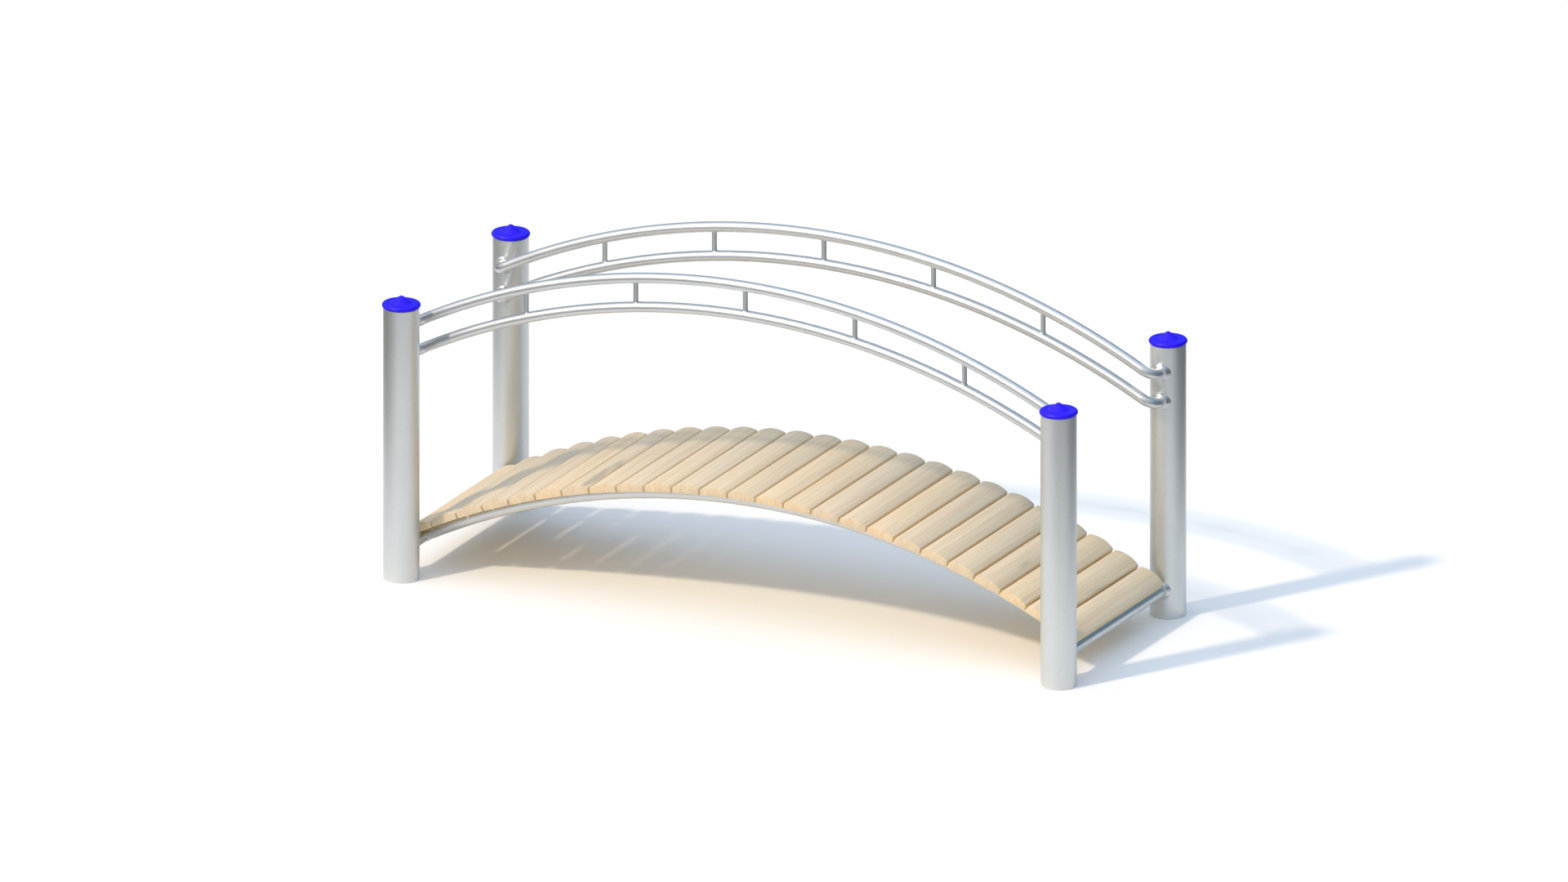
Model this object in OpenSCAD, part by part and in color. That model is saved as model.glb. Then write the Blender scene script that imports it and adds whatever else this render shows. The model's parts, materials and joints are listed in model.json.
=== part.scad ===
// Moon bridge: an arched plank footbridge between four capped tubular posts, with twin arched hand rails.
// Millimetres. X runs along the span, Y across it, Z up. The origin is on the ground, at the middle of the posts.

/* [Span] */
// Distance between the post axes along the bridge
span = 2300; // [1600:10:2800]
// Distance between the post axes across the bridge
post_gauge = 766; // [640:2:1100]
// Radius of the centre lines of the stringers and the hand rails
arch_r = 2400; // [1900:10:4000]

/* [Posts] */
// Outer diameter of a post
post_d = 114; // [90:1:140]
// Wall of a post
post_wall = 3.6; // [2:0.1:6]
// Height of a post, without its cap
post_h = 897; // [850:1:1100]

/* [Caps] */
// How far the cap's flange stands out beyond the post
cap_lip = 4; // [1:0.5:10]
// Thickness of the flange, whose edge is a half round
cap_flange_t = 15; // [8:0.5:20]
// Diameter of the foot of the raised centre
cap_cone_d = 66; // [40:1:80]
// Height of the raised centre above the flange
cap_cone_h = 23; // [15:0.5:30]
// Radius of the rounded tip
cap_tip_r = 11; // [4:0.5:14]
// Radius of the fillet between the raised centre and the flange
cap_foot_r = 6; // [2:0.5:12]
// Length of the spigot that sits in the post
cap_spigot_h = 30; // [15:1:60]
// Wall of the cap
cap_wall = 3; // [2:0.1:5]

/* [Hand rails] */
// Outer diameter of a rail
rail_d = 33.7; // [25:0.1:42]
// Wall of a rail
rail_wall = 2.6; // [1.5:0.1:4]
// Distance of the rails' plane from the post axes, towards the walkway
rail_inset = 108; // [100:1:130]
// Depth of the upper rail's axis below the top of the posts, where it enters them
rail_below_top = 81; // [60:1:140]
// Distance between the axes of the upper and lower rail
rail_drop = 96; // [80:1:140]
// Straight length between a rail's arc and its bend
rail_straight = 3; // [1:0.5:10]
// Diameter of the upright bars between the rails
baluster_d = 16; // [10:0.5:22]
// Number of equal bays that the bars make between the posts
baluster_bays = 6; // [3:1:9]

/* [Collars] */
// How far a collar stands out from the face of its post
collar_h = 8.6; // [6:0.1:14]
// Width of the collar's ring around a rail, at its front
rail_collar_rim = 8.6; // [5:0.1:12]
// Width of the collar's ring around a cross tube, at its front
tube_collar_rim = 5; // [4:0.1:9]
// Radius of the rounded front edge of a collar
collar_edge_r = 2; // [0.5:0.1:3]
// Widening of a collar per millimetre towards the post
collar_flare = 0.4; // [0.1:0.05:0.6]

/* [Deck] */
// Outer diameter of the stringers and the cross tubes
tube_d = 42.4; // [34:0.1:60]
// Wall of the stringers and the cross tubes
tube_wall = 3.2; // [2:0.1:5]
// Height of the cross tubes' axes above the ground
cross_tube_z = 94; // [60:1:160]
// Gap between the end of a plank and the line of the posts' faces
plank_post_gap = 19.5; // [15:0.5:60]
// Distance of a stringer's axis from the ends of the planks
stringer_inset = 78.5; // [40:0.5:150]
// Width of a plank
plank_w = 92; // [70:1:140]
// Thickness of a plank at the middle of its crowned top
plank_t = 30; // [22:0.5:45]
// Fall of the crowned top from its middle to its edges
plank_crown = 11; // [3:0.5:14]
// Radius of a plank's rounded shoulders
plank_shoulder_r = 7; // [2:0.5:9]
// Least gap between neighbouring planks
plank_gap = 5; // [3:0.5:12]
// How far the end planks reach past the axes of the cross tubes
deck_overhang = 4; // [0:0.5:15]

/* [Fits] */
// Gap at a welded or resting seat
seat_gap = 0.2; // [0.1:0.05:0.5]
// Gap round the cap's spigot and inside a collar
slide_gap = 0.3; // [0.2:0.05:0.6]

/* [Hidden] */
$fn = 96;
metal_satin = [0.74, 0.75, 0.76];
metal_bright = [0.82, 0.85, 0.89];
cap_blue = [0.16, 0.12, 0.95];
timber_pale = [0.86, 0.76, 0.60];

half_span = span / 2;
half_gauge = post_gauge / 2;
post_r = post_d / 2;
// How far a cutting shape reaches past what it cuts
cut_over = post_r / 8;

// Collars: measured from the post's axis, and started inside the post, so that the cope is cut from them
collar_front = post_r + collar_h;
collar_back = post_r / 2;

// Rails: an arc, a bend of a quarter turn towards the post, and a short stub into the collar
rail_y = half_gauge - rail_inset;
// Straight length of a rail in front of its collar
stub_free = 2 * seat_gap;
stub_start = collar_front + stub_free;
rail_bend_r = rail_inset - stub_start;
// Angle from the crest to the end of the arc, from which the bend brings the stub to the line of the posts
rail_run = rail_straight + rail_bend_r;
rail_end_a = asin(half_span / norm([arch_r, rail_run])) - atan2(rail_run, arch_r);
// Height of the centre of a rail's arc above the rail's stubs
rail_centre_rise = rail_run * sin(rail_end_a) - arch_r * cos(rail_end_a);
upper_rail_z = post_h - rail_below_top;
lower_rail_z = upper_rail_z - rail_drop;
baluster_pitch = span / baluster_bays;

// Deck: the stringers' arc runs towards the axes of the cross tubes, and stops where the lips of its cope get thin
stringer_end_a = asin(half_span / arch_r);
stringer_lip_a = tube_d / 4 / arch_r * 180 / PI;
stringer_centre_z = cross_tube_z - arch_r * cos(stringer_end_a);
plank_l = post_gauge - post_d - 2 * plank_post_gap;
stringer_y = plank_l / 2 - stringer_inset;
deck_r = arch_r + tube_d / 2 + seat_gap;
deck_l = 2 * (deck_r * stringer_end_a * PI / 180 + deck_overhang);
plank_count = floor((deck_l + plank_gap) / (plank_w + plank_gap));
plank_pitch_a = (deck_l - plank_w) / (plank_count - 1) / deck_r * 180 / PI;

// Crowned top of a plank: one arc, blended into the sides by the shoulders
crown_r = (pow(plank_w / 2, 2) + pow(plank_crown, 2)) / (2 * plank_crown);
shoulder_x = plank_w / 2 - plank_shoulder_r;
shoulder_z = plank_t - crown_r + sqrt(pow(crown_r - plank_shoulder_r, 2) - pow(shoulder_x, 2));
crown_half_w = shoulder_x * crown_r / (crown_r - plank_shoulder_r);

// Raised centre of a cap: a cone whose flank runs tangent to the tip and into a fillet on the flange
cap_r = post_r + cap_lip;
cap_cone_r = cap_cone_d / 2;
cap_tip_z = cap_cone_h - cap_tip_r;
cap_flank_a = atan2(cap_tip_z, cap_cone_r) + asin(cap_tip_r / norm([cap_cone_r, cap_tip_z]));
cap_tip_edge = [cap_tip_r * sin(cap_flank_a), cap_tip_z + cap_tip_r * cos(cap_flank_a)];
cap_foot_run = cap_foot_r * tan(cap_flank_a / 2);
cap_spigot_r = post_r - post_wall - slide_gap;

SIDES = [["front", -1], ["back", 1]];
ENDS = [["left", -1], ["right", 1]];
LEVELS = [["upper", upper_rail_z], ["lower", lower_rail_z]];

function plank_name(i) = str("plank_", i < 9 ? "0" : "", i + 1);

// Ring that a tube of this size shows when it is cut square
module tube_section(d, wall) {
  difference() {
    circle(d = d);
    circle(d = d - 2 * wall);
  }
}

// Arc of the children's section about an axis along Y, from the crest to both sides
module arch(half_angle) {
  rotate([90, 0, 0])
    rotate([0, 0, 90 - half_angle])
      rotate_extrude(angle = 2 * half_angle, $fn = 360)
        translate([arch_r, 0])
          children();
}

// Solid space of all four posts, with a gap for the seat, that copes what meets them
module post_space() {
  for (s = SIDES, e = ENDS)
    translate([e[1] * half_span, s[1] * half_gauge, -cut_over])
      cylinder(r = post_r + seat_gap, h = post_h + 2 * cut_over);
}

module post(side, end) {
  color(metal_satin)
    translate([end * half_span, side * half_gauge, 0])
      linear_extrude(post_h)
        tube_section(post_d, post_wall);
}

// Half of the cap's outer shape, from the flange's underside up
module cap_outline() {
  edge_r = cap_flange_t / 2;
  square([cap_r - edge_r, cap_flange_t]);
  intersection() {
    translate([cap_r - edge_r, edge_r])
      circle(r = edge_r);
    translate([cap_r - edge_r, 0])
      square(cap_flange_t);
  }
  translate([0, cap_flange_t])
    cap_cone_outline();
}

// Half of the raised centre: a straight flank, a rounded tip and a fillet at the foot
module cap_cone_outline() {
  foot_x = cap_cone_r + cap_foot_run;
  difference() {
    polygon([
      [0, 0],
      [foot_x, 0],
      [cap_cone_r - cap_foot_run * cos(cap_flank_a), cap_foot_run * sin(cap_flank_a)],
      cap_tip_edge,
      [0, cap_tip_edge[1]]
    ]);
    translate([foot_x, cap_foot_r])
      circle(r = cap_foot_r);
  }
  intersection() {
    translate([0, cap_tip_z])
      circle(r = cap_tip_r);
    translate([0, cap_tip_edge[1]])
      square(cap_tip_r);
  }
}

module cap(side, end) {
  color(cap_blue)
    translate([end * half_span, side * half_gauge, post_h])
      difference() {
        union() {
          rotate_extrude()
            cap_outline();
          translate([0, 0, -cap_spigot_h])
            cylinder(r = cap_spigot_r, h = cap_spigot_h);
        }
        translate([0, 0, -cap_spigot_h - cut_over])
          cylinder(r = cap_spigot_r - cap_wall, h = cap_spigot_h + cut_over + cap_flange_t - cap_wall);
      }
}

// What follows the arc of a back rail, along X: a straight length, the bend and the stub that the post copes
module rail_end() {
  rotate([0, 90, 0])
    linear_extrude(rail_straight)
      tube_section(rail_d, rail_wall);
  translate([rail_straight, rail_bend_r, 0])
    rotate([0, 0, -90])
      rotate_extrude(angle = 90)
        translate([rail_bend_r, 0])
          tube_section(rail_d, rail_wall);
  translate([rail_run, rail_bend_r, 0])
    rotate([-90, 0, 0])
      linear_extrude(stub_start)
        tube_section(rail_d, rail_wall);
}

// Right half of a back rail about the centre of its arc, drawn past the crest and trimmed there
module half_rail() {
  spare_a = rail_d / arch_r * 180 / PI;
  difference() {
    rotate([0, rail_end_a, 0]) {
      translate([0, 0, arch_r])
        rail_end();
      rotate([90, 0, 0])
        rotate([0, 0, 90])
          rotate_extrude(angle = rail_end_a + spare_a, $fn = 360)
            translate([arch_r, 0])
              tube_section(rail_d, rail_wall);
    }
    translate([-2 * rail_d, -rail_d, arch_r - rail_d])
      cube(2 * rail_d);
  }
}

module rail(side, stub_z) {
  color(metal_bright)
    mirror([0, side < 0 ? 1 : 0, 0])
      difference() {
        translate([0, rail_y, stub_z + rail_centre_rise])
          for (m = [0, 1])
            mirror([m, 0, 0])
              half_rail();
        post_space();
      }
}

// Space that a rail's arc takes, with a gap for the weld, that copes the bars
module rail_space(side, stub_z) {
  translate([0, side * rail_y, stub_z + rail_centre_rise])
    arch(rail_end_a)
      circle(d = rail_d + 2 * seat_gap);
}

module balusters(side) {
  color(metal_satin)
    difference() {
      for (i = [1 : baluster_bays - 1]) {
        x = i * baluster_pitch - half_span;
        lower_axis_z = lower_rail_z + rail_centre_rise + sqrt(pow(arch_r, 2) - pow(x, 2));
        translate([x, side * rail_y, lower_axis_z])
          cylinder(d = baluster_d, h = rail_drop);
      }
      for (v = LEVELS)
        rail_space(side, v[1]);
    }
}

// Half section of a collar along its tube: a flared flank and a flat front, joined by a rounded edge
module collar_outline(bore_r, rim) {
  front_r = bore_r + rim;
  slant = norm([1, collar_flare]);
  edge_x = front_r + collar_edge_r * (collar_flare - slant);
  edge_y = collar_front - collar_edge_r;
  polygon([
    [bore_r, collar_back],
    [front_r + collar_flare * (collar_front - collar_back), collar_back],
    [edge_x + collar_edge_r / slant, edge_y + collar_edge_r * collar_flare / slant],
    [edge_x, collar_front],
    [bore_r, collar_front]
  ]);
  translate([edge_x, edge_y])
    circle(r = collar_edge_r);
}

module collar(side, end, z, d, rim) {
  color(metal_bright)
    difference() {
      translate([end * half_span, side * half_gauge, z])
        rotate([side * 90, 0, 0])
          rotate_extrude()
            collar_outline(d / 2 + slide_gap, rim);
      post_space();
    }
}

module rail_collars() {
  for (s = SIDES, e = ENDS, v = LEVELS)
    collar(s[1], e[1], v[1], rail_d, rail_collar_rim);
}

module deck_collars() {
  for (s = SIDES, e = ENDS)
    collar(s[1], e[1], cross_tube_z, tube_d, tube_collar_rim);
}

module cross_tube(end) {
  color(metal_bright)
    difference() {
      translate([end * half_span, half_gauge, cross_tube_z])
        rotate([90, 0, 0])
          linear_extrude(post_gauge)
            tube_section(tube_d, tube_wall);
      post_space();
    }
}

module stringer(side) {
  color(metal_bright)
    difference() {
      translate([0, side * stringer_y, stringer_centre_z])
        arch(stringer_end_a - stringer_lip_a)
          tube_section(tube_d, tube_wall);
      for (e = ENDS)
        translate([e[1] * half_span, side * stringer_y, cross_tube_z])
          rotate([90, 0, 0])
            cylinder(d = tube_d + 2 * seat_gap, h = 2 * tube_d, center = true);
    }
}

// End view of a plank: flat underneath, crowned on top, with rounded shoulders
module plank_section() {
  translate([-plank_w / 2, 0])
    square([plank_w, shoulder_z]);
  for (m = [-1, 1])
    translate([m * shoulder_x, shoulder_z])
      circle(r = plank_shoulder_r);
  intersection() {
    translate([0, plank_t - crown_r])
      circle(r = crown_r, $fn = 360);
    translate([-crown_half_w, 0])
      square([2 * crown_half_w, plank_t]);
  }
}

module plank(i) {
  color(timber_pale)
    translate([0, plank_l / 2, stringer_centre_z])
      rotate([0, (i - (plank_count - 1) / 2) * plank_pitch_a, 0])
        translate([0, 0, deck_r])
          rotate([90, 0, 0])
            linear_extrude(plank_l)
              plank_section();
}

for (s = SIDES, e = ENDS) {
  post(s[1], e[1]);
  cap(s[1], e[1]);
}
for (s = SIDES, v = LEVELS)
  rail(s[1], v[1]);
for (s = SIDES) {
  balusters(s[1]);
  stringer(s[1]);
}
for (e = ENDS)
  cross_tube(e[1]);
rail_collars();
deck_collars();
for (i = [0 : plank_count - 1])
  plank(i);
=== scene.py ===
"""Looks of the moon bridge, built around its packed frame: timber, metal, caps, welds, screws and stage."""

import json
import math
import random

import bmesh
import bpy
from bpy.props import FloatProperty, FloatVectorProperty, IntProperty, PointerProperty
from mathutils import Matrix, Vector

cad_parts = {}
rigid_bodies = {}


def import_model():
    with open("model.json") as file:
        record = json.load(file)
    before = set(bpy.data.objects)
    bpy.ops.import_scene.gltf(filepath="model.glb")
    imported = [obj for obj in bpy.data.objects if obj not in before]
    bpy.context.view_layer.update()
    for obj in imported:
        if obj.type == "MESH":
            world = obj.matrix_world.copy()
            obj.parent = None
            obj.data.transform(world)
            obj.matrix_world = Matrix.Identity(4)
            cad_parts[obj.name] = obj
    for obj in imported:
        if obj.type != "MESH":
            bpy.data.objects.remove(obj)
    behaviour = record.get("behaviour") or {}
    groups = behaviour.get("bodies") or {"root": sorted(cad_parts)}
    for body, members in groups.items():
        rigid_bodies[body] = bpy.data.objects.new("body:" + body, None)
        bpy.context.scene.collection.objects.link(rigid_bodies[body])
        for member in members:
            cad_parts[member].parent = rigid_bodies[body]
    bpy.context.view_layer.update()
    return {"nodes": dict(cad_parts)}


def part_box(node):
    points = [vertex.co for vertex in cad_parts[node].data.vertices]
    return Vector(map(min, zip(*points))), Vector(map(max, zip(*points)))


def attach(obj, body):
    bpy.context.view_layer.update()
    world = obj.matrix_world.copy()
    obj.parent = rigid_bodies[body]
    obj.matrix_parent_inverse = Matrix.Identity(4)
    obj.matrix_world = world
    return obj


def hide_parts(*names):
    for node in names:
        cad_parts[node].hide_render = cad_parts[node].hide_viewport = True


bl_info = {
    "name": "Moon bridge looks",
    "version": (1, 0, 0),
    "blender": (4, 5, 0),
    "location": "View3D > Sidebar > Moon bridge",
    "description": "Dresses the frame of an arched footbridge with timber, metal, caps, welds and a stage",
    "category": "Object",
}

# Start from an empty scene
for leftover in list(bpy.data.objects):
    bpy.data.objects.remove(leftover)
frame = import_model()

BODY = "root"
SIDES = ("front", "back")
ENDS = ("left", "right")
LEVELS = ("upper", "lower")
POSTS = [f"post_{side}_{end}" for side in SIDES for end in ENDS]
CAPS = [f"cap_{side}_{end}" for side in SIDES for end in ENDS]
RAILS = [f"{side}_{level}_rail" for side in SIDES for level in LEVELS]
BARS = [f"{side}_balusters" for side in SIDES]
STRINGERS = [f"{side}_stringer" for side in SIDES]
CROSS_TUBES = [f"{end}_cross_tube" for end in ENDS]
COLLARS = ["rail_collars", "deck_collars"]
PLANKS = sorted(name for name in frame["nodes"] if name.startswith("plank_"))


def centre_of(node):
    """Middle of a node's box."""
    low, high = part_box(node)
    return (low + high) / 2


def size_of(node):
    """Lengths of a node's box along X, Y and Z."""
    low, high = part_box(node)
    return high - low


# Arc of the stringers, from its chord between the cross tubes and its rise
HALF_SPAN = centre_of("right_cross_tube").x
TUBE_R = size_of("right_cross_tube").z / 2
CROSS_TUBE_Z = centre_of("right_cross_tube").z
STRINGER_CREST_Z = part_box("front_stringer")[1].z - TUBE_R
STRINGER_RISE = STRINGER_CREST_Z - CROSS_TUBE_Z
ARCH_R = (HALF_SPAN ** 2 + STRINGER_RISE ** 2) / (2 * STRINGER_RISE)
ARCH_CENTRE_Z = STRINGER_CREST_Z - ARCH_R
ARCH_END_A = math.asin(HALF_SPAN / ARCH_R)

# Planks, from the one that lies level at the crest
CREST_PLANK = PLANKS[len(PLANKS) // 2]
PLANK_W, PLANK_L, PLANK_T = size_of(CREST_PLANK)
DECK_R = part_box(CREST_PLANK)[0].z - ARCH_CENTRE_Z

# Hand rails and their bars
RAIL_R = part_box("front_upper_rail")[1].y - centre_of("front_balusters").y
RAIL_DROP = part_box("front_upper_rail")[1].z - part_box("front_lower_rail")[1].z
BAR_R = size_of("front_balusters").y / 2
POST_R = size_of("post_front_left").x / 2

# Fineness of the new meshes
CROWN_STEPS = 20
SHOULDER_STEPS = 6
EASING_STEPS = 2
BEAD_SIDES = 8
RIPPLE_STEPS = 6
DOME_STEPS = 5
HEAD_SIDES = 18

# Turn between two faces from which an edge is shaded sharp, and from which it is a plank's sawn edge
SHARP_A = math.radians(35)
SAWN_A = math.radians(60)

# Swell of a weld's ripples as a share of its bead, and least reach of a coped weld as a share of the tube
RIPPLE_SWELL = 0.05
LEAST_COPE = 0.5

# Length of the log that the planks are cut from, and how far its rings wander
LOG_L = 40.0
RING_WANDER = 0.02

# Cycles to the metre of the patterns in the wood: across a plank, along it and through it
WANDER = (5.0, 1.3, 5.0)
FIBRES = (260.0, 3.0, 90.0)
STREAKS = (45.0, 0.8, 12.0)
PORES = (700.0, 14.0, 200.0)
PATCHES = (13.0, 2.4, 5.0)

# Cycles to the metre of the patterns in metal and plastic
BLOOM = (9.0, 9.0, 4.0)
POLISH = (9.0, 30.0, 30.0)
MOULD = (30.0, 30.0, 30.0)
PEEL = (600.0, 600.0, 600.0)

# Heights in the sky, as sines of their angles: the skyline and the top of the low sky
SKYLINE = 0.01
LOW_SKY = 0.25
WHITE = (1.0, 1.0, 1.0)


class MoonBridgeDeck(bpy.types.PropertyGroup):
    """Shape and colours of the planks"""

    overhang: FloatProperty(
        name="Overhang", description="How far the end planks reach past the axes of the cross tubes",
        default=0.004, min=0.0, max=0.02, unit="LENGTH", precision=4)
    crown: FloatProperty(
        name="Crown", description="Fall of a plank's top from its middle to its edges",
        default=0.011, min=0.002, max=0.014, unit="LENGTH", precision=4)
    shoulder: FloatProperty(
        name="Shoulder", description="Radius of a plank's rounded shoulders",
        default=0.007, min=0.002, max=0.01, unit="LENGTH", precision=4)
    easing: FloatProperty(
        name="Easing", description="Width of the rounding on a plank's sawn edges",
        default=0.0012, min=0.0002, max=0.003, unit="LENGTH", precision=4)
    ring_width: FloatProperty(
        name="Ring width", description="Distance between two growth rings",
        default=0.0042, min=0.001, max=0.01, unit="LENGTH", precision=4)
    pith_distance: FloatProperty(
        name="Pith distance", description="Mean distance of the heart of the tree from a plank",
        default=0.32, min=0.1, max=1.0, unit="LENGTH")
    seed: IntProperty(
        name="Seed", description="Start of the random choice of each plank's place in the log",
        default=7, min=0)
    pale: FloatVectorProperty(
        name="Pale wood", description="Colour of the late wood", subtype="COLOR", size=3, min=0, max=1,
        default=(0.88, 0.74, 0.545))
    dark: FloatVectorProperty(
        name="Dark wood", description="Colour of the early wood", subtype="COLOR", size=3, min=0, max=1,
        default=(0.66, 0.51, 0.335))
    grey: FloatVectorProperty(
        name="Grey patch", description="Colour of the few weathered patches", subtype="COLOR", size=3,
        min=0, max=1, default=(0.46, 0.39, 0.30))
    end: FloatVectorProperty(
        name="End grain", description="Colour of the sawn ends", subtype="COLOR", size=3, min=0, max=1,
        default=(0.73, 0.575, 0.385))
    # The flanks' colour is warmer and more saturated than the top's: partly the flanks' own tint, partly a
    # painted glow of light bounced between the planks in the gaps and underneath.
    flank: FloatVectorProperty(
        name="Flanks", description="Colour of the sheltered flanks in the gaps", subtype="COLOR", size=3,
        min=0, max=1, default=(0.77, 0.60, 0.345))


class MoonBridgeMetal(bpy.types.PropertyGroup):
    """Finish of the posts, rails and deck tubes"""

    post_colour: FloatVectorProperty(
        name="Post colour", description="Colour of the satin posts", subtype="COLOR", size=3, min=0, max=1,
        default=(0.66, 0.676, 0.672))
    post_roughness: FloatProperty(
        name="Post roughness", description="Roughness of the satin posts", default=0.44, min=0.05, max=1.0,
        subtype="FACTOR")
    rail_colour: FloatVectorProperty(
        name="Rail colour", description="Colour of the polished tubes", subtype="COLOR", size=3, min=0, max=1,
        default=(0.635, 0.645, 0.65))
    rail_roughness: FloatProperty(
        name="Rail roughness", description="Roughness of the polished tubes", default=0.4, min=0.02, max=1.0,
        subtype="FACTOR")
    bar_colour: FloatVectorProperty(
        name="Bar colour", description="Colour of the plain upright bars", subtype="COLOR", size=3,
        min=0, max=1, default=(0.54, 0.56, 0.56))
    speckle: FloatProperty(
        name="Speckle", description="Size of the blasted grain on the posts", default=0.0024,
        min=0.0003, max=0.01, unit="LENGTH", precision=4)


class MoonBridgeCaps(bpy.types.PropertyGroup):
    """Finish of the post caps"""

    colour: FloatVectorProperty(
        name="Cap colour", description="Colour of the moulded caps", subtype="COLOR", size=3, min=0, max=1,
        default=(0.022, 0.003, 1.0))
    roughness: FloatProperty(
        name="Cap roughness", description="Roughness of the moulded caps", default=0.42, min=0.02, max=1.0,
        subtype="FACTOR")


class MoonBridgeFixings(bpy.types.PropertyGroup):
    """Welds and screws"""

    bead: FloatProperty(
        name="Weld bead", description="Radius of a weld bead", default=0.0016, min=0.0005, max=0.004,
        unit="LENGTH", precision=4)
    ripples: IntProperty(
        name="Ripples", description="Number of ripples round a weld bead", default=20, min=4, max=80)
    bars_per_side: IntProperty(
        name="Bars", description="Number of upright bars between the rails of one side", default=5, min=2)
    collar_h: FloatProperty(
        name="Collar height", description="How far the collars stand out from the posts", default=0.0086,
        min=0.004, max=0.02, unit="LENGTH", precision=4)
    head_d: FloatProperty(
        name="Screw head", description="Diameter of a deck screw's head", default=0.013, min=0.006, max=0.02,
        unit="LENGTH", precision=4)
    head_h: FloatProperty(
        name="Head height", description="Height of a deck screw's head", default=0.0005,
        min=0.0005, max=0.008, unit="LENGTH", precision=4)


class MoonBridgeStage(bpy.types.PropertyGroup):
    """Camera, floor and light"""

    azimuth: FloatProperty(
        name="Azimuth", description="Turn of the camera round the bridge", default=math.radians(26.565),
        subtype="ANGLE")
    elevation: FloatProperty(
        name="Elevation", description="Height of the camera above the horizon", default=math.radians(19.0),
        subtype="ANGLE")
    pixels_across: IntProperty(
        name="Pixels across", description="Width of the photograph in pixels", default=1920, min=1,
        subtype="PIXEL")
    pixels_down: IntProperty(
        name="Pixels down", description="Height of the photograph in pixels", default=1080, min=1,
        subtype="PIXEL")
    pixels_per_metre: FloatProperty(
        name="Pixels per metre", description="Scale of the photograph's parallel view", default=391.23, min=1)
    origin_pixel: FloatVectorProperty(
        name="Origin pixel", description="Pixel of the photograph where the frame's origin lies", size=2,
        default=(960.85, 729.6))
    sun_direction: FloatVectorProperty(
        name="Towards the sun", description="Direction from the bridge to the sun", subtype="DIRECTION",
        size=3, default=(-0.367, -0.619, 0.695))
    sun_colour: FloatVectorProperty(
        name="Sun colour", description="Colour of the sunlight", subtype="COLOR", size=3, min=0, max=1,
        default=(1.0, 0.82, 0.6))
    sun_strength: FloatProperty(
        name="Sun strength", description="Sunlight that falls on a surface square to it", default=1.75, min=0)
    sun_size: FloatProperty(
        name="Sun size", description="Angle that the sun fills, which softens the shadows",
        default=math.radians(4.0), min=0, subtype="ANGLE")
    glint: FloatProperty(
        name="Glint", description="Further strength of the sun that shows only as gloss", default=1.2, min=0)
    horizon: FloatVectorProperty(
        name="Horizon", description="Colour of the sky just above the horizon", subtype="COLOR", size=3,
        min=0, max=1, default=(0.05, 0.15, 0.23))
    zenith: FloatVectorProperty(
        name="Zenith", description="Colour of the sky overhead", subtype="COLOR", size=3, min=0, max=2,
        default=(0.36, 0.56, 0.84))
    glow: FloatVectorProperty(
        name="Glow", description="Colour of the haze round the sun", subtype="COLOR", size=3, min=0, max=2,
        default=(0.66, 0.57, 0.46))
    glow_size: FloatProperty(
        name="Glow size", description="Angle from the sun at which its haze ends", default=math.radians(110),
        min=0.1, max=math.pi, subtype="ANGLE")
    floor_tone: FloatProperty(
        name="Floor tone", description="Share of the light that the floor gives back to the bridge",
        default=0.97, min=0, max=1, subtype="FACTOR")
    floor_size: FloatProperty(
        name="Floor size", description="Half width of the floor", default=60.0, min=5, unit="LENGTH")
    surround: FloatProperty(
        name="Surround", description="Share of the light that the floor gives back outside the sheet",
        default=0.1, min=0, max=1, subtype="FACTOR")
    sheet_edge: FloatProperty(
        name="Sheet edge", description="Width over which the sheet fades into the floor round it",
        default=1.2, min=0.01, unit="LENGTH")


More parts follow.
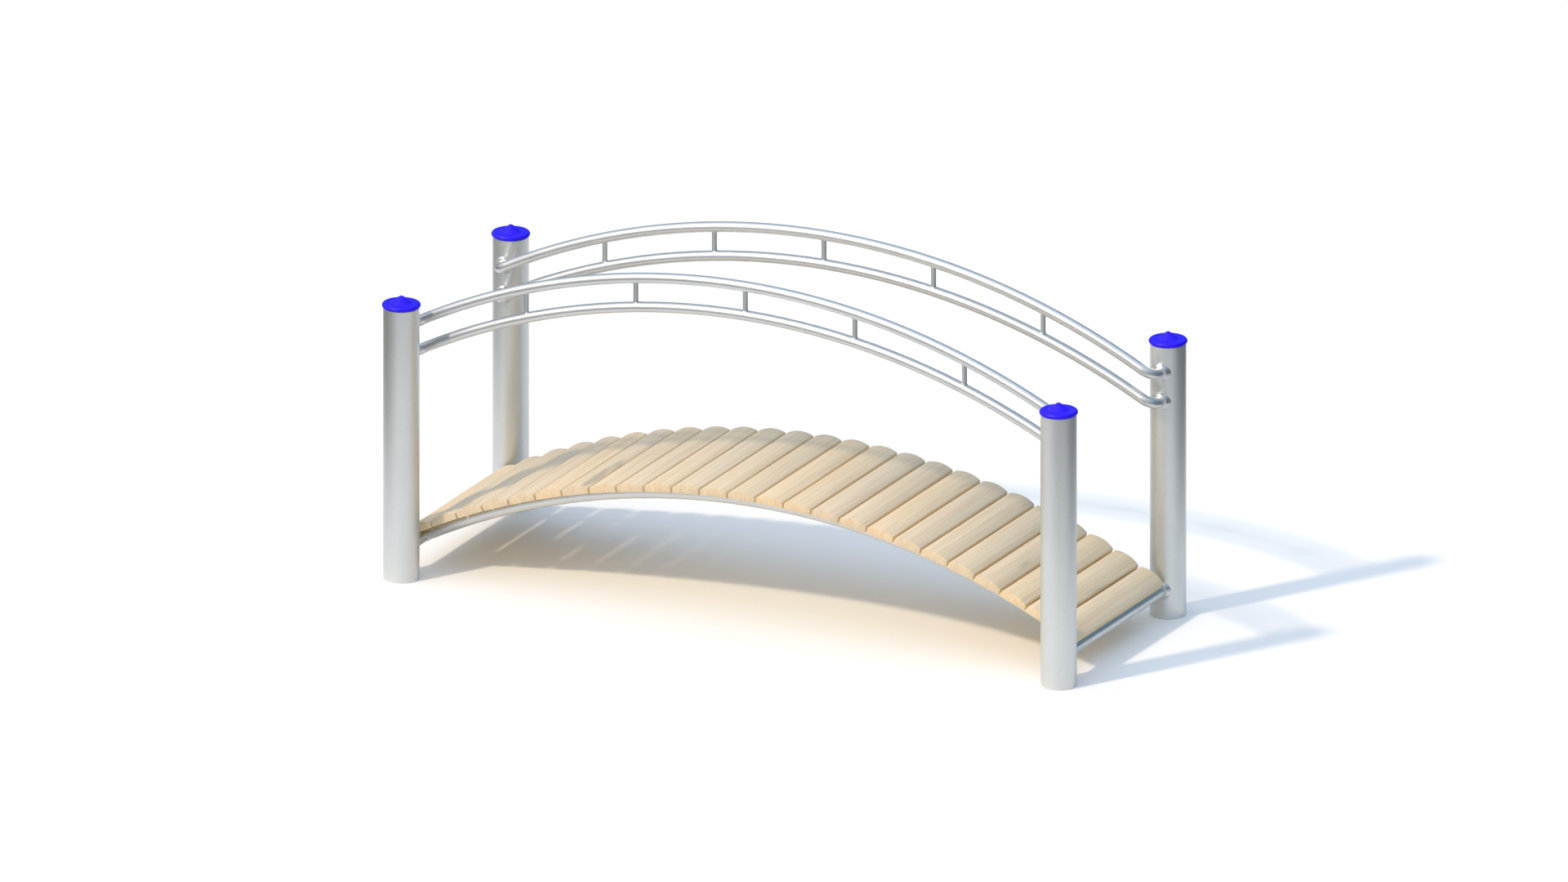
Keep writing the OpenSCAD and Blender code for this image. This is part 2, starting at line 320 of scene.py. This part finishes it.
class Wire:
    """An output of a node tree. Arithmetic on it adds Math nodes, and node() adds any other node."""

    def __init__(self, tree, socket=None):
        self.tree = tree
        self.socket = socket

    def feed(self, socket, value):
        """Link a wire to an input socket, or set the socket to a plain value."""
        if isinstance(value, Wire):
            self.tree.links.new(value.socket, socket)
        else:
            socket.default_value = value

    def node(self, kind, settings=None, sockets=None, output=0):
        """Add a node, set it up, feed its inputs and return the wire of one of its outputs."""
        made = self.tree.nodes.new(kind)
        for name, value in (settings or {}).items():
            if name == "stops":
                for _ in range(len(value) - len(made.color_ramp.elements)):
                    made.color_ramp.elements.new(1.0)
                for element, (place, colour) in zip(made.color_ramp.elements, value):
                    element.position = place
                    element.color = (*colour, 1.0)
            else:
                setattr(made, name, value)
        for name, value in (sockets or {}).items():
            self.feed(made.inputs[name], value)
        return Wire(self.tree, made.outputs[output])

    def math(self, operation, *others):
        """Add a Math node on this wire and others."""
        return self.node("ShaderNodeMath", {"operation": operation}, dict(enumerate((self, *others))))

    def math_after(self, operation, number):
        """Add a Math node on a plain number and then this wire."""
        return self.node("ShaderNodeMath", {"operation": operation}, {0: number, 1: self})

    def __add__(self, other):
        return self.math("ADD", other)

    def __sub__(self, other):
        return self.math("SUBTRACT", other)

    def __rsub__(self, other):
        return self.math_after("SUBTRACT", other)

    def __mul__(self, other):
        return self.math("MULTIPLY", other)

    def __truediv__(self, other):
        return self.math("DIVIDE", other)

    def __rtruediv__(self, other):
        return self.math_after("DIVIDE", other)

    def __pow__(self, other):
        return self.math("POWER", other)

    def __rpow__(self, other):
        return self.math_after("POWER", other)

    __radd__ = __add__
    __rmul__ = __mul__

    def smoothstep(self, low, high):
        """Zero below one value and one above another, with a smooth rise between them."""
        settings = {"interpolation_type": "SMOOTHSTEP"}
        return self.node("ShaderNodeMapRange", settings, {"Value": self, "From Min": low, "From Max": high})

    def mix(self, low, high):
        """Colour between two others, by this wire's value."""
        sockets = {0: self}
        for place, colour in ((6, low), (7, high)):
            sockets[place] = colour if isinstance(colour, Wire) else (*colour, 1.0)
        return self.node("ShaderNodeMix", {"data_type": "RGBA"}, sockets, 2)

    def noise(self, scale, detail=2.0):
        """Noise on this wire's coordinates, with a scale of its own along each axis."""
        place = self.node("ShaderNodeMapping", None, {"Vector": self, "Scale": scale})
        return self.node("ShaderNodeTexNoise", None, {"Vector": place, "Scale": 1.0, "Detail": detail})

    def bump(self, strength, distance):
        """Normal that this wire's height gives a surface."""
        return self.node("ShaderNodeBump", None, {"Height": self, "Strength": strength, "Distance": distance})

    def rays(self):
        """Whether a ray comes from the camera, from gloss or through glass."""
        kinds = ("Camera", "Glossy", "Transmission")
        return [self.node("ShaderNodeLightPath", output=f"Is {kind} Ray") for kind in kinds]

    def parts(self):
        """X, Y and Z of a vector."""
        split = self.node("ShaderNodeSeparateXYZ", None, {"Vector": self})
        return [Wire(self.tree, socket) for socket in split.socket.node.outputs]


def new_material(name, **sockets):
    """A material, a wire on its tree and a function that feeds its shader's sockets by name."""
    material = bpy.data.materials.new(name)
    material.use_nodes = True
    wire = Wire(material.node_tree)
    shader = material.node_tree.nodes["Principled BSDF"]

    def feed(**values):
        """Feed the shader's sockets, whose names have underscores for spaces here."""
        for socket, value in values.items():
            wire.feed(shader.inputs[socket.replace("_", " ")], value)

    feed(**sockets)
    return material, wire, feed


def shades(colour, spread):
    """A darker and a lighter shade of a colour."""
    return [[share * channel for channel in colour] for share in (1 - spread, 1 + spread)]


def oiled_timber(deck):
    """Pale, straight-grained timber, from each plank's own place in the log, with a painted glow of bounced
    light on its flanks.
    """
    material, wire, feed = new_material("oiled_timber", Specular_IOR_Level=0.3)
    log = wire.node("ShaderNodeAttribute", {"attribute_name": "log_place"}, output="Vector")
    tone = wire.node("ShaderNodeAttribute", {"attribute_name": "plank_tone"}, output="Fac")
    sawn = wire.node("ShaderNodeAttribute", {"attribute_name": "sawn_end"}, output="Fac")
    flank = wire.node("ShaderNodeAttribute", {"attribute_name": "flank"}, output="Fac")

    across, _, up = log.parts()
    pith = (across * across + up * up) ** 0.5 + log.noise(WANDER) * RING_WANDER
    ring = (pith / deck.ring_width).math("FRACT")
    early = (1 - ring.smoothstep(0.0, 0.5)).math("MAXIMUM", ring.smoothstep(0.9, 1.0))
    fibre = log.noise(FIBRES, detail=4.0).smoothstep(0.35, 0.65)
    streak = log.noise(STREAKS, detail=3.0).smoothstep(0.35, 0.65)
    pore = log.noise(PORES, detail=1.0).smoothstep(0.6, 0.7) * early
    grain = (early * 0.3 + (1 - fibre) * 0.4 + streak * 0.25 + pore * 0.25).math("MINIMUM", 1.0)
    patch = log.noise(PATCHES, detail=3.0).smoothstep(0.64, 0.76)

    top_colour = (patch * 0.8).mix(grain.mix(deck.pale, deck.dark), deck.grey)
    # Flanks and undersides take the flank colour: their own warmer tint together with a painted glow of light
    # bounced between the planks.
    side_colour_with_glow = flank.mix(top_colour, deck.flank)
    end_colour = grain.mix(*reversed(shades(deck.end, 0.14)))
    toned = {"Value": 1 + tone * 0.05, "Saturation": 1 + tone * 0.08,
             "Color": sawn.mix(side_colour_with_glow, end_colour)}
    feed(Base_Color=wire.node("ShaderNodeHueSaturation", None, toned),
         Roughness=0.52 + grain * 0.2,
         Normal=(fibre - pore - early * 0.4).bump(strength=0.35, distance=0.0003))
    return material


def satin_metal(name, colour, roughness, speckle):
    """Blasted satin metal with a dull bloom, a fine speckle and faint clouds."""
    material, wire, feed = new_material(name, Metallic=0.95)
    place = wire.node("ShaderNodeTexCoord", output="Object")
    grit = place.noise([1 / speckle] * 3)
    cloud = place.noise(BLOOM, detail=3.0)
    feed(Base_Color=(grit * 0.6 + cloud * 0.4).smoothstep(0.3, 0.7).mix(*shades(colour, 0.06)),
         Roughness=roughness - 0.05 + grit * 0.06 + cloud * 0.04,
         Normal=grit.bump(strength=0.12, distance=0.0002))
    return material


def polished_metal(name, colour, roughness):
    """Polished tube, with faint clouds left by the polishing wheel."""
    material, wire, feed = new_material(name, Metallic=1.0)
    place = wire.node("ShaderNodeTexCoord", output="Object")
    cloud = place.noise(POLISH)
    feed(Base_Color=cloud.smoothstep(0.3, 0.7).mix(*shades(colour, 0.02)),
         Roughness=roughness - 0.02 + cloud * 0.04)
    return material


def moulded_plastic(caps):
    """Blue moulded plastic with the faint orange peel of its mould."""
    material, wire, feed = new_material("moulded_plastic", Specular_IOR_Level=0.25)
    place = wire.node("ShaderNodeTexCoord", output="Object")
    cloud = place.noise(MOULD)
    peel = place.noise(PEEL, detail=1.0)
    feed(Base_Color=cloud.smoothstep(0.3, 0.7).mix(*shades(caps.colour, 0.03)),
         Roughness=caps.roughness - 0.03 + cloud * 0.06,
         Normal=peel.bump(strength=0.05, distance=0.0002))
    return material


def dress(nodes, material):
    """Give frame nodes a finish."""
    for name in nodes:
        frame["nodes"][name].material_slots[0].material = material


def tube_finish():
    """Finish of the tubes, which welds and screws share."""
    return frame["nodes"][RAILS[0]].material_slots[0].material


def add_piece(bm, name, material, crease=SHARP_A):
    """Turn a bmesh into a piece that rides on the bridge, smooth but for its sharper edges."""
    mesh = bpy.data.meshes.new(name)
    bm.to_mesh(mesh)
    bm.free()
    mesh.shade_smooth()
    mesh.set_sharp_from_angle(angle=crease)
    mesh.materials.append(material)
    piece = bpy.data.objects.new(name, mesh)
    bpy.context.scene.collection.objects.link(piece)
    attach(piece, BODY)
    return piece


def plank_angles(deck):
    """Turn of each plank about the arc's centre, from the first at the left to the last at the right."""
    half_deck = DECK_R * ARCH_END_A + deck.overhang
    end_a = (half_deck - PLANK_W / 2) / DECK_R
    pitch_a = 2 * end_a / (len(PLANKS) - 1)
    return [i * pitch_a - end_a for i in range(len(PLANKS))]


def carry(bm, vert, centre, angle, steps):
    """Carry a vertex round a centre, from +X towards +Z, and return the last vertex of the arc."""
    spun = bmesh.ops.spin(bm, geom=[vert], cent=centre, axis=(0, -1, 0), angle=angle, steps=steps)
    return next(item for item in spun["geom_last"] if isinstance(item, bmesh.types.BMVert))


def whole_turn(bm, steps):
    """Sweep all that is in a bmesh once round the Z axis."""
    bmesh.ops.spin(bm, geom=bm.verts[:] + bm.edges[:], cent=(0, 0, 0), axis=(0, 0, 1), angle=2 * math.pi,
                   steps=steps, use_merge=True)


def plank_mesh(deck):
    """A plank about the middle of its underside: crowned on top, with round shoulders and eased edges."""
    half_w, half_l = PLANK_W / 2, PLANK_L / 2
    crown_r = (half_w ** 2 + deck.crown ** 2) / (2 * deck.crown)
    crown_z = PLANK_T - crown_r
    shoulder_x = half_w - deck.shoulder
    crown_a = math.asin(shoulder_x / (crown_r - deck.shoulder))
    shoulder_z = crown_z + (crown_r - deck.shoulder) * math.cos(crown_a)
    shoulder_a = math.pi / 2 - crown_a

    bm = bmesh.new()
    foot = bm.verts.new((half_w, -half_l, 0))
    side = bm.verts.new((half_w, -half_l, shoulder_z))
    bm.edges.new((foot, side))
    vert = carry(bm, side, (shoulder_x, -half_l, shoulder_z), shoulder_a, SHOULDER_STEPS)
    vert = carry(bm, vert, (0, -half_l, crown_z), 2 * crown_a, CROWN_STEPS)
    vert = carry(bm, vert, (-shoulder_x, -half_l, shoulder_z), shoulder_a, SHOULDER_STEPS)
    far_foot = bm.verts.new((-half_w, -half_l, 0))
    bm.edges.new((vert, far_foot))
    bm.edges.new((far_foot, foot))
    end = bmesh.ops.edgeloop_fill(bm, edges=bm.edges)["faces"]
    extruded = bmesh.ops.extrude_face_region(bm, geom=end, use_keep_orig=True)["geom"]
    moved = [item for item in extruded if isinstance(item, bmesh.types.BMVert)]
    bmesh.ops.translate(bm, verts=moved, vec=(0, PLANK_L, 0))
    bmesh.ops.recalc_face_normals(bm, faces=bm.faces)
    sawn = [edge for edge in bm.edges if edge.calc_face_angle() > SAWN_A]
    bmesh.ops.bevel(bm, geom=sawn, offset=deck.easing, offset_type="OFFSET", affect="EDGES",
                    segments=EASING_STEPS, profile=0.5, material=-1)
    return bm


def mark_grain(bm, deck, draw):
    """Store where the plank's wood was in the log, its tone, sawn ends, and the flanks that get the painted
    glow of bounced light, for the timber finish.
    """
    pith_x = draw.choice((-1, 1)) * deck.pith_distance * draw.uniform(0.6, 1.5)
    pith = Vector((pith_x, draw.uniform(0, LOG_L), draw.uniform(-0.08, 0.08)))
    tone = draw.uniform(-1, 1)
    places = bm.verts.layers.float_vector.new("log_place")
    tones = bm.verts.layers.float.new("plank_tone")
    ends = bm.verts.layers.float.new("sawn_end")
    flanks = bm.verts.layers.float.new("flank")
    edge_z = PLANK_T - deck.crown
    sawn_y = PLANK_L / 2 - deck.easing / 4
    for vert in bm.verts:
        vert[places] = vert.co + pith
        vert[tones] = tone
        vert[ends] = float(abs(vert.co.y) > sawn_y)
        # Flanks and undersides, below the crown's edge, are marked for the painted glow of bounced light.
        vert[flanks] = min(max(2 * (edge_z - vert.co.z) / deck.shoulder, 0), 1)


def flat_rise(turn):
    """Rise of a bead that lies in a plane."""
    return 0.0


def bead_mesh(bm, fixings, ring_r, rise, place):
    """Add a rippled weld bead round a tube, lifted all round to the surface that the tube meets."""
    upright = Matrix.Translation((ring_r, 0, 0)) @ Matrix.Rotation(math.pi / 2, 4, "X")
    bead = bmesh.new()
    bmesh.ops.create_circle(bead, segments=BEAD_SIDES, radius=fixings.bead, matrix=upright)
    whole_turn(bead, RIPPLE_STEPS * fixings.ripples)
    for vert in bead.verts:
        turn = math.atan2(vert.co.y, vert.co.x)
        core = Vector((ring_r * math.cos(turn), ring_r * math.sin(turn), 0))
        swell = 1 + RIPPLE_SWELL * math.sin(fixings.ripples * turn)
        vert.co = core + (vert.co - core) * swell + Vector((0, 0, rise(turn)))
    bmesh.ops.recalc_face_normals(bead, faces=bead.faces)
    bmesh.ops.transform(bead, matrix=place, verts=bead.verts)
    part = bpy.data.meshes.new("bead")
    bead.to_mesh(part)
    bead.free()
    bm.from_mesh(part)
    bpy.data.meshes.remove(part)


def rail_axis(rail, x):
    """Height of a rail's axis at a place along the span."""
    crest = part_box(rail)[1].z - RAIL_R
    return crest - ARCH_R + math.sqrt(ARCH_R ** 2 - x ** 2)


def bar_rise(slope_a, facing):
    """Height of a sloping rail's surface round a bar that meets it, above the rail's axis."""
    def rise(turn):
        along, aside = BAR_R * math.cos(turn), BAR_R * math.sin(turn)
        return facing * math.sqrt(RAIL_R ** 2 - aside ** 2) / math.cos(slope_a) - along * math.tan(slope_a)
    return rise


def cope_rise(turn):
    """Reach of a cross tube's surface round the end of a stringer, from the cross tube's axis."""
    return TUBE_R * max(abs(math.sin(turn)), LEAST_COPE)


def screw_mesh(fixings):
    """A round screw head with a socket, standing on the plane Z = 0 and sunk a little below it."""
    head_r = fixings.head_d / 2
    socket_r = fixings.head_d / 5
    sink = fixings.head_d / 8
    dome_r = (head_r ** 2 + fixings.head_h ** 2) / (2 * fixings.head_h)
    dome_z = fixings.head_h - dome_r
    start_a = math.asin(socket_r / dome_r)
    bm = bmesh.new()
    floor = bm.verts.new((0, 0, fixings.head_h / 2))
    wall = bm.verts.new((socket_r, 0, fixings.head_h / 2))
    lip = bm.verts.new((socket_r, 0, dome_z + dome_r * math.cos(start_a)))
    bm.edges.new((floor, wall))
    bm.edges.new((wall, lip))
    rim_a = math.asin(head_r / dome_r)
    rim = carry(bm, lip, (0, 0, dome_z), start_a - rim_a, DOME_STEPS)
    foot = bm.verts.new((head_r, 0, -sink))
    bm.edges.new((rim, foot))
    whole_turn(bm, HEAD_SIDES)
    bmesh.ops.remove_doubles(bm, verts=bm.verts, dist=1e-6)
    bmesh.ops.holes_fill(bm, edges=[edge for edge in bm.edges if edge.is_boundary])
    bmesh.ops.recalc_face_normals(bm, faces=bm.faces)
    return bm


class MOONBRIDGE_OT_finish_metal(bpy.types.Operator):
    """Give the posts and bars their satin finish and the tubes and collars their polish"""

    bl_idname = "moon_bridge.finish_metal"
    bl_label = "Finish metal"

    def execute(self, context):
        metal = context.scene.moon_bridge_metal
        dress(POSTS, satin_metal("post_metal", metal.post_colour, metal.post_roughness, metal.speckle))
        dress(BARS, satin_metal("bar_metal", metal.bar_colour, metal.post_roughness, metal.speckle))
        polished = polished_metal("tube_metal", metal.rail_colour, metal.rail_roughness)
        dress(RAILS + STRINGERS + CROSS_TUBES + COLLARS, polished)
        return {"FINISHED"}


class MOONBRIDGE_OT_finish_caps(bpy.types.Operator):
    """Give the post caps their blue plastic"""

    bl_idname = "moon_bridge.finish_caps"
    bl_label = "Finish caps"

    def execute(self, context):
        dress(CAPS, moulded_plastic(context.scene.moon_bridge_caps))
        return {"FINISHED"}


class MOONBRIDGE_OT_lay_planks(bpy.types.Operator):
    """Lay a timber plank with its own grain in the place of each plank of the frame"""

    bl_idname = "moon_bridge.lay_planks"
    bl_label = "Lay planks"

    def execute(self, context):
        deck = context.scene.moon_bridge_deck
        timber = oiled_timber(deck)
        draw = random.Random(deck.seed)
        for node, angle in zip(PLANKS, plank_angles(deck)):
            bm = plank_mesh(deck)
            mark_grain(bm, deck, draw)
            place = Matrix.Translation((0, 0, ARCH_CENTRE_Z)) @ Matrix.Rotation(angle, 4, "Y")
            bmesh.ops.transform(bm, matrix=place @ Matrix.Translation((0, 0, DECK_R)), verts=bm.verts)
            piece = add_piece(bm, f"timber_{node}", timber)
            middle = (Vector(piece.bound_box[0]) + Vector(piece.bound_box[6])) / 2
            if (middle - centre_of(node)).length > deck.easing:
                raise RuntimeError(f"{piece.name} doesn't lie where {node} does")
            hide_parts(node)
        return {"FINISHED"}


class MOONBRIDGE_OT_run_welds(bpy.types.Operator):
    """Run a weld bead round both ends of each bar, each stringer and where the tubes enter their collars"""

    bl_idname = "moon_bridge.run_welds"
    bl_label = "Run welds"

    def execute(self, context):
        fixings = context.scene.moon_bridge_fixings
        seams = {"bar": self.weld_bars, "stringer": self.weld_stringer, "collar": self.weld_collars}
        for seam, weld in seams.items():
            for side in SIDES:
                bm = bmesh.new()
                weld(bm, fixings, side)
                add_piece(bm, f"{side}_{seam}_welds", tube_finish(), crease=math.pi)
        return {"FINISHED"}

    def weld_bars(self, bm, fixings, side):
        """Beads where a side's bars meet its two rails."""
        bars = f"{side}_balusters"
        y = centre_of(bars).y
        outer_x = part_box(bars)[1].x - BAR_R
        for i in range(fixings.bars_per_side):
            x = outer_x * (2 * i / (fixings.bars_per_side - 1) - 1)
            slope_a = math.asin(x / ARCH_R)
            for level, facing in (("upper", -1), ("lower", 1)):
                place = Matrix.Translation((x, y, rail_axis(f"{side}_{level}_rail", x)))
                bead_mesh(bm, fixings, BAR_R, bar_rise(slope_a, facing), place)

    def weld_stringer(self, bm, fixings, side):
        """Beads where a side's stringer meets the cross tubes."""
        y = centre_of(f"{side}_stringer").y
        for end in (-1, 1):
            lean = Matrix.Rotation(-end * (math.pi / 2 - ARCH_END_A), 4, "Y")
            place = Matrix.Translation((end * HALF_SPAN, y, CROSS_TUBE_Z)) @ lean
            bead_mesh(bm, fixings, TUBE_R, cope_rise, place)

    def weld_collars(self, bm, fixings, side):
        """Beads where the rails and cross tubes enter the collars on a side's posts."""
        stub_z = centre_of("rail_collars").z
        rings = ((RAIL_R, stub_z + RAIL_DROP / 2), (RAIL_R, stub_z - RAIL_DROP / 2), (TUBE_R, CROSS_TUBE_Z))
        for end in ENDS:
            post = centre_of(f"post_{side}_{end}")
            y = post.y - math.copysign(POST_R + fixings.collar_h, post.y)
            for ring_r, z in rings:
                place = Matrix.Translation((post.x, y, z)) @ Matrix.Rotation(math.pi / 2, 4, "X")
                bead_mesh(bm, fixings, ring_r, flat_rise, place)


class MOONBRIDGE_OT_drive_screws(bpy.types.Operator):
    """Drive a screw up through each stringer into each plank"""

    bl_idname = "moon_bridge.drive_screws"
    bl_label = "Drive screws"

    def execute(self, context):
        fixings = context.scene.moon_bridge_fixings
        head = bpy.data.meshes.new("screw_head")
        bm = screw_mesh(fixings)
        bm.to_mesh(head)
        bm.free()
        seat = Matrix.Translation((0, 0, ARCH_R - TUBE_R)) @ Matrix.Rotation(math.pi, 4, "X")
        for side, stringer in zip(SIDES, STRINGERS):
            arc_centre = Matrix.Translation((0, centre_of(stringer).y, ARCH_CENTRE_Z))
            bm = bmesh.new()
            for angle in plank_angles(context.scene.moon_bridge_deck):
                place = arc_centre @ Matrix.Rotation(angle, 4, "Y") @ seat
                first = len(bm.verts)
                bm.from_mesh(head)
                bm.verts.ensure_lookup_table()
                bmesh.ops.transform(bm, matrix=place, verts=bm.verts[first:])
            add_piece(bm, f"{side}_deck_screws", tube_finish())
        bpy.data.meshes.remove(head)
        return {"FINISHED"}


class MOONBRIDGE_OT_set_stage(bpy.types.Operator):
    """Set up the floor, the sky, the sun and the camera"""

    bl_idname = "moon_bridge.set_stage"
    bl_label = "Set stage"

    def execute(self, context):
        stage = context.scene.moon_bridge_stage
        self.lay_floor(context, stage)
        self.paint_sky(context, stage)
        self.hang_sun(context, stage)
        self.place_camera(context, stage)
        context.scene.view_settings.view_transform = "Standard"
        return {"FINISHED"}

    def lay_floor(self, context, stage):
        """A pale floor, which gives back less light outside the sheet that fills the photograph."""
        half_w = stage.pixels_across / stage.pixels_per_metre / 2
        half_d = stage.pixels_down / stage.pixels_per_metre / math.sin(stage.elevation) / 2
        away = (2 * stage.origin_pixel[1] / stage.pixels_down - 1) * half_d
        material, wire, feed = new_material("pale_floor", Roughness=1.0, Specular_IOR_Level=0.0)
        across, along, _ = wire.node("ShaderNodeTexCoord", output="Object").parts()
        beyond = (across.math("ABSOLUTE") - half_w).math("MAXIMUM", along.math("ABSOLUTE") - half_d)
        shade = 1 - beyond.smoothstep(-stage.sheet_edge / 2, stage.sheet_edge / 2) * (1 - stage.surround)
        camera, glossy, transmission = wire.rays()
        mirrored = glossy.math("MAXIMUM", transmission)
        given_back = shade * (stage.floor_tone + mirrored * (1 - stage.floor_tone))
        feed(Base_Color=given_back.math("MAXIMUM", camera))
        bm = bmesh.new()
        bmesh.ops.create_grid(bm, x_segments=1, y_segments=1, size=stage.floor_size)
        mesh = bpy.data.meshes.new("floor")
        bm.to_mesh(mesh)
        bm.free()
        mesh.materials.append(material)
        floor = bpy.data.objects.new("floor", mesh)
        floor.rotation_euler.z = stage.azimuth
        floor.location = Matrix.Rotation(stage.azimuth, 3, "Z") @ Vector((0, away, 0))
        context.scene.collection.objects.link(floor)

    def paint_sky(self, context, stage):
        """A sky that is deep blue low down and lighter overhead, with a wide haze round the sun."""
        world = bpy.data.worlds.new("sky")
        world.use_nodes = True
        context.scene.world = world
        wire = Wire(world.node_tree)
        towards = wire.node("ShaderNodeTexCoord", output="Generated")
        horizon, zenith = tuple(stage.horizon), tuple(stage.zenith)
        stops = [(SKYLINE, WHITE), (2 * SKYLINE, horizon), (LOW_SKY, horizon), (1.0, zenith)]
        sky = wire.node("ShaderNodeValToRGB", {"stops": stops}, {"Fac": towards.parts()[2]})
        sunward = Vector(stage.sun_direction).normalized()
        facing = wire.node("ShaderNodeVectorMath", {"operation": "DOT_PRODUCT"},
                           {0: towards, 1: sunward}, "Value")
        full_glow = stage.glow_size / 4
        haze = facing.smoothstep(math.cos(stage.glow_size), math.cos(full_glow))
        hazy = wire.node("ShaderNodeMix", {"data_type": "RGBA", "blend_type": "ADD"},
                         {0: haze, 6: sky, 7: (*stage.glow, 1.0)}, 2)
        wire.feed(world.node_tree.nodes["Background"].inputs["Color"], hazy)

    def hang_sun(self, context, stage):
        """The sun, and a second one in the same place that only gloss shows."""
        for name, strength, colour, lights in (("sun", stage.sun_strength, stage.sun_colour, True),
                                               ("glint", stage.glint, WHITE, False)):
            light = bpy.data.lights.new(name, "SUN")
            light.energy = strength
            light.color = colour
            light.angle = stage.sun_size
            sun = bpy.data.objects.new(name, light)
            sun.rotation_euler = Vector(stage.sun_direction).to_track_quat("Z", "Y").to_euler()
            sun.visible_diffuse = lights
            context.scene.collection.objects.link(sun)

    def place_camera(self, context, stage):
        """A parallel camera at the photograph's angle, twice the width of its view away."""
        data = bpy.data.cameras.new("camera")
        data.type = "ORTHO"
        data.ortho_scale = stage.pixels_across / stage.pixels_per_metre
        turn = Matrix.Rotation(stage.azimuth, 3, "Z") @ Matrix.Rotation(math.pi / 2 - stage.elevation, 3, "X")
        right, up, back = turn.col
        across = (stage.pixels_across / 2 - stage.origin_pixel[0]) / stage.pixels_per_metre
        above = (stage.origin_pixel[1] - stage.pixels_down / 2) / stage.pixels_per_metre
        camera = bpy.data.objects.new("camera", data)
        camera.location = right * across + up * above + back * 2 * data.ortho_scale
        camera.rotation_euler = turn.to_euler()
        context.scene.collection.objects.link(camera)
        context.scene.camera = camera


class MOONBRIDGE_PT_looks(bpy.types.Panel):
    """Sidebar panel with the bridge's settings and steps"""

    bl_idname = "MOONBRIDGE_PT_looks"
    bl_label = "Moon bridge"
    bl_space_type = "VIEW_3D"
    bl_region_type = "UI"
    bl_category = "Moon bridge"

    def draw(self, context):
        for step in STEPS:
            self.layout.operator(step.bl_idname)
        for name, group in GROUPS.items():
            box = self.layout.box()
            box.label(text=group.__doc__)
            for setting in group.__annotations__:
                box.prop(getattr(context.scene, name), setting)


GROUPS = {
    "moon_bridge_deck": MoonBridgeDeck,
    "moon_bridge_metal": MoonBridgeMetal,
    "moon_bridge_caps": MoonBridgeCaps,
    "moon_bridge_fixings": MoonBridgeFixings,
    "moon_bridge_stage": MoonBridgeStage,
}
STEPS = (
    MOONBRIDGE_OT_finish_metal,
    MOONBRIDGE_OT_finish_caps,
    MOONBRIDGE_OT_lay_planks,
    MOONBRIDGE_OT_run_welds,
    MOONBRIDGE_OT_drive_screws,
    MOONBRIDGE_OT_set_stage,
)
CLASSES = (*GROUPS.values(), *STEPS, MOONBRIDGE_PT_looks)


def register():
    """Add the settings, the steps and the panel."""
    for cls in CLASSES:
        bpy.utils.register_class(cls)
    for name, group in GROUPS.items():
        setattr(bpy.types.Scene, name, PointerProperty(type=group))


def unregister():
    """Take the settings, the steps and the panel away."""
    for name in GROUPS:
        delattr(bpy.types.Scene, name)
    for cls in reversed(CLASSES):
        bpy.utils.unregister_class(cls)


def main():
    """Dress the bridge step by step."""
    register()
    bpy.ops.moon_bridge.finish_metal()
    bpy.ops.moon_bridge.finish_caps()
    bpy.ops.moon_bridge.lay_planks()
    bpy.ops.moon_bridge.run_welds()
    bpy.ops.moon_bridge.drive_screws()
    bpy.ops.moon_bridge.set_stage()


if __name__ == "__main__":
    main()
